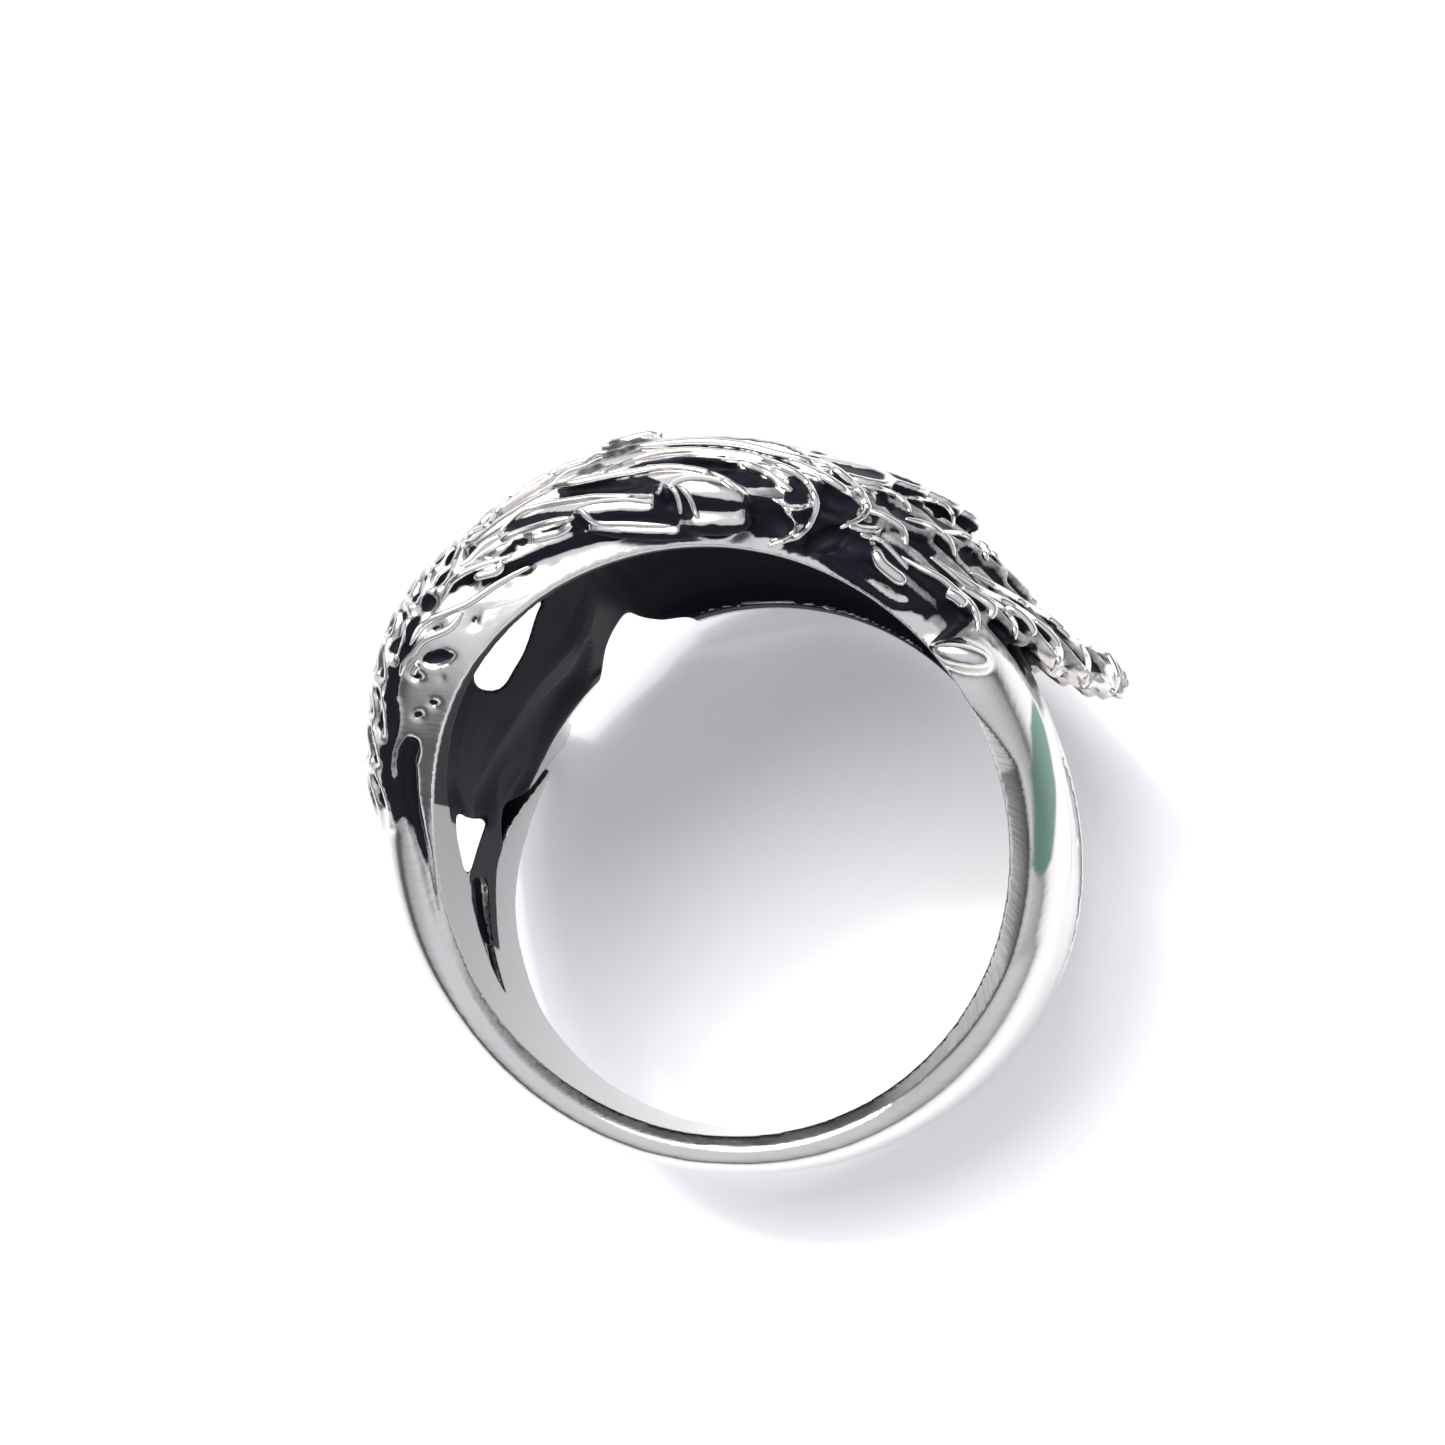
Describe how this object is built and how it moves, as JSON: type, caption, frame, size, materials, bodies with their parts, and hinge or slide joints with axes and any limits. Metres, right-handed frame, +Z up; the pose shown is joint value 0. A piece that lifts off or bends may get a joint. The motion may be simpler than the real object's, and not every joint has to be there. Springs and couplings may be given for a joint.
{
  "type": "swan ring",
  "caption": "Cast silver finger ring shaped as a resting swan, with folded feathered wings, fanned tail and head laid along its side, lying on its side.",
  "frame": {"origin": "middle of the bounding box, on the surface the ring lies on", "axes": "+Z up from the surface; +Y from the plain band toward the swan's back as the ring lies; +X toward the tail; the finger hole's axis leans from +Z toward -Y and a little toward +X"},
  "size_m": [0.025, 0.025, 0.0208],
  "materials": {
    "silver": "polished sterling silver, blackened in the recesses and on the underside"
  },
  "bodies": {
    "root": {"swan_ring": "silver"}
  },
  "joints": []
}
